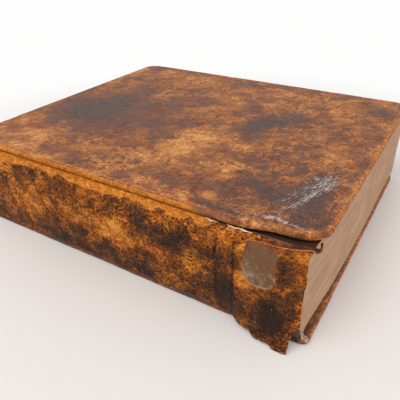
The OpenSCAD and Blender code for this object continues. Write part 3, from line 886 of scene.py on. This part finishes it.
def spine_grid():
    """Places round the spine and along it, and which cells of that grid are kept."""
    y_line = spine_columns()
    arc = shares(400)
    run = concatenate([[0], cumsum(np.linalg.norm(diff(round_point(arc), axis=0), axis=1))])
    t_line = interp(linspace(0, run[-1], SPINE_ROWS), run, arc)
    t, y = meshgrid(t_line, y_line, indexing="ij")
    # The leather ends in a ragged edge at the tail, and the tear wanders and opens downwards
    around = t * SPINE_AROUND
    tail = leather_tail + 0.35 + 0.5 * noise(3.5, 41, around) * (t > 0.05)
    tail = tail + 1.4 * clip(noise(2.2, 42, around) - 0.25, 0, 1) * (t > 0.3)
    torn = tear_y + 0.5 * noise(9, 43, around)
    gap = mix(0.1, TEAR_GAP * 1.2, ease((t - 0.75) / 0.2))
    gap = gap + 0.5 * noise(2.5, 44, around) * (t > 0.8)
    still = tear_y + 9
    knots = stack([tail, torn, torn + gap, 0 * t + still], -1)
    warped = [interp(y_line, [leather_tail, tear_y, flap_tail, still], row[0]) for row in knots]
    y = where(y < still, warped, y)
    # The crack along the front joint, and the ragged edge of the loose leather
    t = t + crack_share(y) * ease(1 - t / 0.3)
    frayed = ease((flap_tail + FLAP_H - y) / 10) * (y > flap_tail - 0.1)
    bites = clip(noise(4, 46, y) - 0.15, 0, 1) * ease((y - flap_tail - 7) / 6)
    ragged = 0.012 * noise(2, 45, y) + 0.05 * bites
    t = t - frayed * (0.004 + ragged) * ease((t - 0.75) / 0.25)
    kept = np.ones((len(t_line) - 1, len(y_line) - 1), bool)
    kept[(t_line[:-1] + t_line[1:]) / 2 > TEAR_FROM_SHARE, :TEAR_COLUMNS] = False
    return clip(t, 0, 1), y, kept


def spine_fields(points, t):
    """The fields of the outside and then of the inside of the leather."""
    y, z = points.T[1:]
    t = concatenate([t.ravel(), t.ravel()])
    outer = np.repeat([1, 0], len(t) // 2)
    # The orange band along the joint is real rubbed leather; on the shelf under the cover's edge it
    # is also painted light against the crease's shade
    band = ease((z - 60.5 + 2 * fractal(9, 57, y, z)) / 2.5) * ease((y + 82) / 10)
    past_crack = t - crack_share(y)
    near_crack = ease(1 - past_crack / 0.03) * (y < crack_end)
    # Along the crack's broken edge, under the cover's rim, the leather is made dark and not orange:
    # painted shadow
    crack_edge_shade = ease(1 - past_crack / 0.014) * ease((crack_end + 2 - y) / 3)
    film_and_shade = SPINE_FILM_LEFT + patches(y, z, SPINE_FILM, 13, 51, 3) - 0.4 * band
    film_and_shade = film_and_shade + 0.3 * pressed(y, z) * (z < 60) + 0.7 * crack_edge_shade
    # Fresh orange leather along the joint, partly painted light on the shelf, and where the tail
    # and the loose leather are rubbed
    tail_band = ease((-118 - y) / 8) * ease((z - 26) / 12)
    warm_and_lit = 0.85 * band + 0.35 * near_crack + 0.15 * tail_band - 0.9 * crack_edge_shade
    near_tail = ease(1 - (y - leather_tail) / 2.2)
    near_edge = ease((t - 0.965) / 0.03)
    crease = ease(1 - (t - 0.01) / 0.05) * (y > crack_end)
    rub = 0.25 * near_tail + 0.35 * near_edge - 0.2 * crease
    return {"film_and_shade": where(outer, film_and_shade, INSIDE_FILM), "calm": patches(y, z, SPINE_CALM, 13, 53, 2),
            "warm_and_lit": warm_and_lit * outer, "rub": clip(rub, 0, 1)}


def make_spine():
    t, y, kept = spine_grid()
    outside = on_spine(y, t)
    outside[..., 2] = minimum(outside[..., 2], spine_top - 0.02)
    p = spine_point(y, t)
    # The inside keeps clear of the pressed lines
    thick = maximum(leather_t - 0.05 - 0.1 * noise(12, 48, y, t * SPINE_AROUND),
                    0.3 - roughness(y, t, p[..., 1]))
    form = shell(outside, with_y(p - spine_out(y, t) * thick[..., None], y), kept)
    piece("spine_skin", form, spine_calf, ["spine_leather"],
          spine_fields(form[0], t), sharp=55)


make_spine()


# The leaves

LEAF_LAYERS, FORE_HOLLOW = 150, 4
# Points of a layer's outline across the leaves, up the fore-edge and down the back
LEAF_POINTS = (90, 100, 60)
END_LEAF_ROWS, END_LEAF_COLUMNS = 90, 110
END_LEAF_OVER, END_LEAF_UNDER = 0.08, -0.3


def sag(x):
    """How far the leaves have dropped towards the tail at a distance from the spine."""
    across = (x - leaves_lo[0]) / (leaves_hi[0] - leaves_lo[0])
    return leaf_sag * interp(across, [0, 0.1, 0.22, 0.37, 0.5, 1], [0, 0.3, 0.75, 0.98, 1, 0.95])


def make_leaves():
    """One solid whose cut edges show the leaves, gathered in sections."""
    lo, hi = leaves_lo, leaves_hi
    share = shares(LEAF_LAYERS)
    back = round_inside(linspace(0.05, 0.95, 300), backs_in)
    back_z = mix(back[-1, 1], back[0, 1], share)
    x_back = interp(back_z, back[::-1, 1], back[::-1, 0])
    fore_z = mix(lo[2], hi[2], share)
    x_fore = hi[0] - FORE_HOLLOW * np.sqrt(clip(1 - (2 * share - 1) ** 2, 0, 1))
    across, up, down = (shares(count, endpoint=False) for count in LEAF_POINTS)
    rings = []
    for x0, x1, z0, z1 in zip(x_back, x_fore, back_z, fore_z):
        marks = (x0, leaf_tail), (x1, leaf_tail), (x1, leaf_head), (x0, leaf_head), (x0, leaf_tail)
        x, y = concatenate([stack([mix(a[0], b[0], s), mix(a[1], b[1], s)])
                            for a, b, s in zip(marks, marks[1:], (across, up, across, down))], 1)
        y = y - sag(x)
        rings.append(stack([x, y, mix(z0, z1, (x - x0) / (x1 - x0))], 1))
    x, y, z = np.moveaxis(array(rings), 2, 0)
    # Which way each point of a ring is pushed to go in: from the tail, the fore-edge or the head
    counts = [len(s) for s in (across, up, across, down)]
    ends, fore = np.repeat([1, 0, -1, 0], counts), np.repeat([0, 1, 0, 0], counts)
    # Each layer lies a little further in or out, and the sections part in shallow furrows
    layer = (0.1 * noise(3.2, 71, z * 8, x * 0.02, y * 0.02)
             + 0.1 * noise(5, 72, z * 3, x * 0.03, y * 0.03))
    section = (0.22 * clip(noise(1.7, 73, z, 0.01 * x, 0.01 * y), -1, 0.2)
               + 0.25 * noise(14, 74, z, x * 0.2, y * 0.2))
    inward = clip(0.25 + layer - section, 0, 1)
    x, y = x - fore * inward, y + ends * inward
    form = bar(stack([x, y, z], -1))
    # Darker within 5 mm of the covers, painted shade under their overhang, and darker towards the
    # backs of the leaves
    shade_near_covers = ease(1 - (minimum(z - lo[2], hi[2] - z)) / 5)
    near_back = ease(1 - (x - lo[0] - 2) / 5)
    stain_and_shade = 0.3 * shade_near_covers + 0.25 * near_back + 0.08
    piece("leaves", form, page_edges, ["text_block"], {"stain_and_shade": stain_and_shade}, sharp=70)


def make_end_leaf(name, top, seed):
    """The first or the last leaf, browned along the joint and under the turned-in leather. Towards
    the tail the brown along the joint reaches much wider: painted shade of the crack under the
    front cover's worn corner.
    """
    lo, hi = leaves_lo, leaves_hi
    s, v = meshgrid(shares(END_LEAF_ROWS), shares(END_LEAF_COLUMNS),
                    indexing="ij")
    arc, z_fore, out = (0.05, hi[2], 1) if top else (0.95, lo[2], -1)
    x_back, z_back = round_inside(array(arc), backs_in)
    x = mix(x_back + 0.3, hi[0] - 0.5, s)
    y = mix(leaf_tail + 0.5, leaf_head - 0.5, v) - sag(x)
    z = mix(z_back, z_fore, s)
    over, under = (stack([x, y, z + out * d], -1) for d in (END_LEAF_OVER, END_LEAF_UNDER))
    form = shell(over, under, np.ones((END_LEAF_ROWS - 1, END_LEAF_COLUMNS - 1), bool))
    edge = minimum(minimum(hi[0] - x, x - lo[0] + 40), minimum(y - leaf_tail, leaf_head - y) + 0.7)
    soft = 3 * fractal(12, seed, x, y)
    border = 0.42 * ease((turn_in_w - 2 + soft - edge) / 4)
    # The brown along the joint is real browning; its widening towards the tail is painted shade
    stain_and_shade_reach = 8 + 16 * ease((-96 - y) / 12)
    joint = 1.3 * ease((x_back + stain_and_shade_reach + soft - x) / 5)
    stain_and_shade = maximum(border, joint) + 0.12 * noise(40, seed + 5, x, y)
    piece(name, form, end_paper, (), {"stain_and_shade": tile(stain_and_shade.ravel(), 2)})


make_leaves()
make_end_leaf("first_leaf", True, 121)
make_end_leaf("last_leaf", False, 131)


# The torn strip in the front joint

STRIP_H, STRIP_W, STRIP_T, STRIP_LIFT = 30, 3, 0.75, 0.57
STRIP_STEPS, STRIP_FACETS = 70, 7
STRIP_W_SHARES = [0.25, 0.5, 0.7, 0.85, 0.95, 1, 1, 0.98, 0.95, 0.9, 0.95, 0.9, 0.55]
# The curl past the tail: places, as shares of the cover's overhang, and its turn to upright
CURL_SHARES = [[0, -0.22, -0.03, 0.7], [0.2, -0.4, -0.06, 1], [0.55, -0.47, -0.08, 1],
               [0.9, -0.4, -0.04, 1], [1.2, -0.24, 0.04, 1]]


def make_strip():
    """A strip of leather that hangs in the crack and curls over the corner of the leaves."""
    down = shares(8)
    turns = mix(0.14, 0.03, down * down)
    y = leather_tail + STRIP_H * (1 - down)
    lying, flat = on_spine(y, turns, STRIP_LIFT), spine_down(y, turns)
    curl = array(CURL_SHARES)
    path = concatenate([lying, lying[-1] + end_square * curl[:, :3]])
    wide = concatenate([flat, mix(flat[-1], array([0, 0, 1]), curl[:, 3:])])
    t = shares(STRIP_STEPS)
    path, wide = along(path, t), along(wide, t)
    half = STRIP_W / 2 * along(STRIP_W_SHARES, t)
    half = half * (1 + 0.16 * noise(3, 81, t * 60) + 0.08 * noise(1, 82, t * 60))
    form = ribbon(path, wide, half, STRIP_T, 0.25, STRIP_FACETS)
    x, y, z = form[0].T
    edge = linspace(-1, 1, STRIP_FACETS)
    upper = ease((-tile(concatenate([edge, -edge]), STRIP_STEPS) - 0.4) / 0.5)
    # The strip is dark brown: its own colour, and painted shade of the crack it hangs in. Its upper
    # edge is rubbed paler
    fields = {"film_and_shade": 0.85 + 0.25 * noise(4, 83, x, y, z) - 0.6 * upper,
              "rub": 0.6 * upper + 0.15 * noise(5, 84, x, y, z)}
    piece("torn_strip", form, torn_calf, ["joint_strip"], fields)


make_strip()


# Torn edges of the paper lining, which lie over the broken edge of the leather in the crack

# From, to and the greatest width
PAPER_TEARS = [(-71, -79.5, 0.9), (-84.5, -100, 1.1)]


def make_paper_tears():
    t = shares(60)
    parts = []
    for k, (start, end, widest) in enumerate(PAPER_TEARS):
        y = mix(start, end, t)
        half = 0.5 * widest * clip(sin(pi * t) ** 0.5, 0.12, 1)
        half = half * (0.8 + 0.45 * noise(1.6, 97 + k, y))
        turned = 0.062 + 0.01 * (noise(3, 95 + k, y) + 0.5 * noise(1.2, 99 + k, y))
        path = on_spine(y, turned + half / SPINE_AROUND, 0.16)
        path[:, 2] = minimum(path[:, 2], spine_top + 0.12)
        parts.append(ribbon(path, spine_down(y, turned), half, 0.14, 0, 5))
    piece("paper_tears", joined(parts), spine_paper, ())


make_paper_tears()


# What is left of the paper label

LABEL_Y, LABEL_T = leather_tail + 25.6, 0.36
LABEL_HALF_Y, LABEL_HALF_T = 9.4, 0.185
LABEL_THICK, LABEL_LIFT = 0.2, 0.06
LABEL_RINGS, LABEL_SPOKES = 22, 132


def make_label():
    """A patch with rounded corners, torn at its lower edge."""
    r, a = meshgrid(linspace(0.02, 1, LABEL_RINGS),
                       linspace(0, 2 * pi, LABEL_SPOKES, endpoint=False), indexing="ij")
    c, s = cos(a), sin(a)
    power = where(s > 0, 6, 4)
    square = (abs(c) ** power + abs(s) ** power) ** (-1 / power)
    rough = 0.025 * noise(5, 86, c * 20, s * 20) + 0.015 * noise(1.6, 87, c * 20, s * 20)
    edge = 1 + where(s < 0, 2.2, 1) * rough
    across, down = r * c * square * edge, r * s * square * edge
    y = LABEL_Y + LABEL_HALF_Y * across
    t = LABEL_T + LABEL_HALF_T * where(down > 0, down * (1 - 0.12 * across ** 2), down)
    thick = LABEL_THICK * clip((1 - r) / 0.08, 0.25, 1)
    points = concatenate([on_spine(y, t, LABEL_LIFT + thick).reshape(-1, 3),
                          on_spine(y, t, LABEL_LIFT).reshape(-1, 3)])
    n = LABEL_RINGS * LABEL_SPOKES
    faces = grid_faces(LABEL_RINGS, LABEL_SPOKES, closed=True)
    faces += [tuple(n + k for k in reversed(f)) for f in faces]
    top, bottom = n - LABEL_SPOKES, 2 * n - LABEL_SPOKES
    for k in range(LABEL_SPOKES):
        m = (k + 1) % LABEL_SPOKES
        faces.append((top + k, bottom + k, bottom + m, top + m))
    faces += [tuple(reversed(range(LABEL_SPOKES))), tuple(n + k for k in range(LABEL_SPOKES))]
    middle = exp(-((across + 0.35) / 0.4) ** 2 - ((down - 0.1) / 0.4) ** 2)
    worn = 0.42 - 0.34 * down + 0.25 * middle - 0.25 * ease((r - 0.86) / 0.12) * (down > 0.3)
    piece("label_patch", (points, faces), label_paper, ["label_remnant"],
          {"worn": tile(worn.ravel(), 2)})


make_label()


# Sewing: ends of thread at the tail, and the band at the head

# Each end of thread: its place along X, how far it leans out and how far it waves
THREADS = [(-1.9, 0.4, 0.25), (-1.3, 0.2, -0.3), (-0.7, 0.5, 0.4), (-0.2, 0.3, -0.2),
           (0.4, 0.4, 0.5), (0.9, 0.2, -0.3), (-1.6, 0.9, 0.3), (0.1, 1, -0.4)]
THREAD_TOP, TUFT_FIBRES = 9.6, 9


def make_threads():
    """Ends of thread that hang from the tail of the leaves to the back cover."""
    t = shares(14)
    parts = []
    for k, (side, lean, wave) in enumerate(THREADS):
        x = joint_x + side + wave * sin(t * 5 + k)
        y = leaf_tail - 0.55 - 0.2 - 1.9 * lean * t * t + 0.25 * sin(t * 7 + 2 * k)
        z = THREAD_TOP - (4 + 0.3 * sin(2.1 * k)) * t
        parts.append(tube(stack([x, y, z], 1), mix(0.26, 0.16, t), 7, (1, 0.2, 0)))
    piece("thread_ends", joined(parts), linen, ["tail_threads"])


def make_tuft():
    """Loose fibres caught on the back cover's corner, under the ends of thread."""
    t = shares(16)
    parts = []
    for k in range(TUFT_FIBRES):
        a, b, c = (float(lattice(k, m, 3, 57)) for m in range(3))
        x = joint_x - 0.2 + 1.6 * a + (0.7 * b - 0.3) * t + 0.35 * sin(5 * t + 3 * c)
        y = leaf_tail - 0.9 - (4 + 0.9 * c) * t ** 0.8
        z = shell_t + 0.28 + 0.3 * abs(a) - (1.6 + 1 * b) * ease((t - 0.55) / 0.45)
        parts.append(tube(stack([x, y, z], 1), mix(0.2, 0.1, t), 6, (1, 0.2, 0)))
    piece("thread_tuft", joined(parts), linen, (), body="back_cover")


def make_endband():
    """A cord wound closely with thread, sewn on at the head."""
    t = linspace(0.1, 0.9, 340)
    radius = (band_hi[1] - band_lo[1]) / 2
    path = with_y(round_inside(t, leather_t + radius + 0.1), 0 * t + (band_lo[1] + band_hi[1]) / 2)
    wound = radius - 0.12 + 0.12 * abs(sin(arange(len(t)) * pi / 5))
    form = tube(path, wound, 14, (0, 1, 0))
    piece("endband_wound", form, linen, ["head_endband"], sharp=80)


make_threads()
make_tuft()
make_endband()


# Finishes of the solids that stay as the frame has them

STAYING = {"spine_lining": joint_paper_dirt_and_shade, "front_board": pasteboard, "back_board": pasteboard,
           "front_lining": lining_paper, "back_lining": lining_paper}
STAYING.update({name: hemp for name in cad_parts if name.startswith("sewing_cord")})
for name, material in STAYING.items():
    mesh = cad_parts[name].data
    mesh.materials.clear()
    mesh.materials.append(material)


# Camera

AZIMUTH, ELEVATION, ROLL = -58.2, 31.2, -0.84
DISTANCE = 314.3
TARGET = Vector((-59.5, -33.6, 35))
FOCAL_PIXELS, IMAGE_PIXELS = 444, 400


def aimed(name, data, place, target, roll=0):
    """An object at a place, in metres, that looks at a target."""
    back = Vector(place) - Vector(target)
    turned = back.to_track_quat("Z", "Y").to_matrix().to_4x4() @ Matrix.Rotation(roll, 4, "Z")
    obj = placed(name, data)
    obj.matrix_world = Matrix.Translation(place) @ turned
    return obj


def make_camera():
    data = bpy.data.cameras.new("camera")
    data.sensor_width = 36
    data.lens = data.sensor_width * FOCAL_PIXELS / IMAGE_PIXELS
    data.clip_start = 0.01
    az, el = radians(AZIMUTH), radians(ELEVATION)
    back = Vector((sin(az) * cos(el), -cos(az) * cos(el), sin(el)))
    place = (TARGET + back * DISTANCE) * MM
    scene.camera = aimed("camera", data, place, TARGET * MM, radians(ROLL))


make_camera()


# Floor, light and background

# The floor's grey is the tone of its shaded part near the book
FLOOR_HALF, FLOOR_SHADE_COLOUR = 3, (214, 207, 200)
# From how far to how far away the camera sees the floor grow brighter, and its share at both. Near
# the book the floor keeps its grey: painted soft shadow round the book, over the one the lamps cast
GLOW = (0.11, 0.44, 0.06, 0.97)
SKY_COLOUR, SKY_STRENGTH = (0.95, 0.96, 1, 1), 0.62
WHITE = (1, 1, 1, 1)


def make_floor():
    """A pale floor, which the camera sees grow brighter away from the book: grey near it as painted
    soft shadow, white further out.
    """
    mesh = bpy.data.meshes.new("floor")
    signs = (-1, -1), (1, -1), (1, 1), (-1, 1)
    mesh.from_pydata([(x * FLOOR_HALF, y * FLOOR_HALF, 0) for x, y in signs], [], [range(4)])
    floor = placed("floor", mesh)
    f = Finish("floor", 0.1)
    f.join(0.7, f.shader.inputs["Roughness"])
    f.join(linear(FLOOR_SHADE_COLOUR), f.shader.inputs["Base Color"])
    seen = f.add("LightPath").outputs["Is Camera Ray"]
    away = f.vector("LENGTH", f.place).outputs["Value"]
    glow = f.add("Emission", (WHITE, 1))
    f.show(f.times(seen, f.step(away, *GLOW)), f.shader, glow, "Material Output")
    mesh.materials.append(f.material)


def make_light(name, place, power, size):
    """A round lamp that faces the book."""
    data = bpy.data.lights.new(name, "AREA")
    data.shape = "DISK"
    data.size = size
    data.energy = power
    aimed(name, data, place, (0, 0, 0.03))


def make_world():
    """Soft light from all round, in front of a white background."""
    world = bpy.data.worlds.new("world")
    scene.world = world
    world.use_nodes = True
    nodes = Nodes(world.node_tree)
    lit = nodes.tree.nodes["Background"]
    nodes.join(SKY_COLOUR, lit.inputs["Color"])
    nodes.join(SKY_STRENGTH, lit.inputs["Strength"])
    shown = nodes.add("Background", (WHITE, 1))
    path = nodes.add("LightPath").outputs
    rays = path["Is Camera Ray"]
    for other in ("Is Glossy Ray", "Is Transmission Ray"):
        rays = nodes.math("MAXIMUM", rays, path[other])
    nodes.show(rays, lit, shown, "World Output")


make_floor()
make_light("key", (-1.1, 0.2, 1.7), 26, 1.4)
make_light("fill", (-0.3, -1.5, 0.9), 8, 1.4)
make_world()
scene.view_settings.view_transform = "Standard"
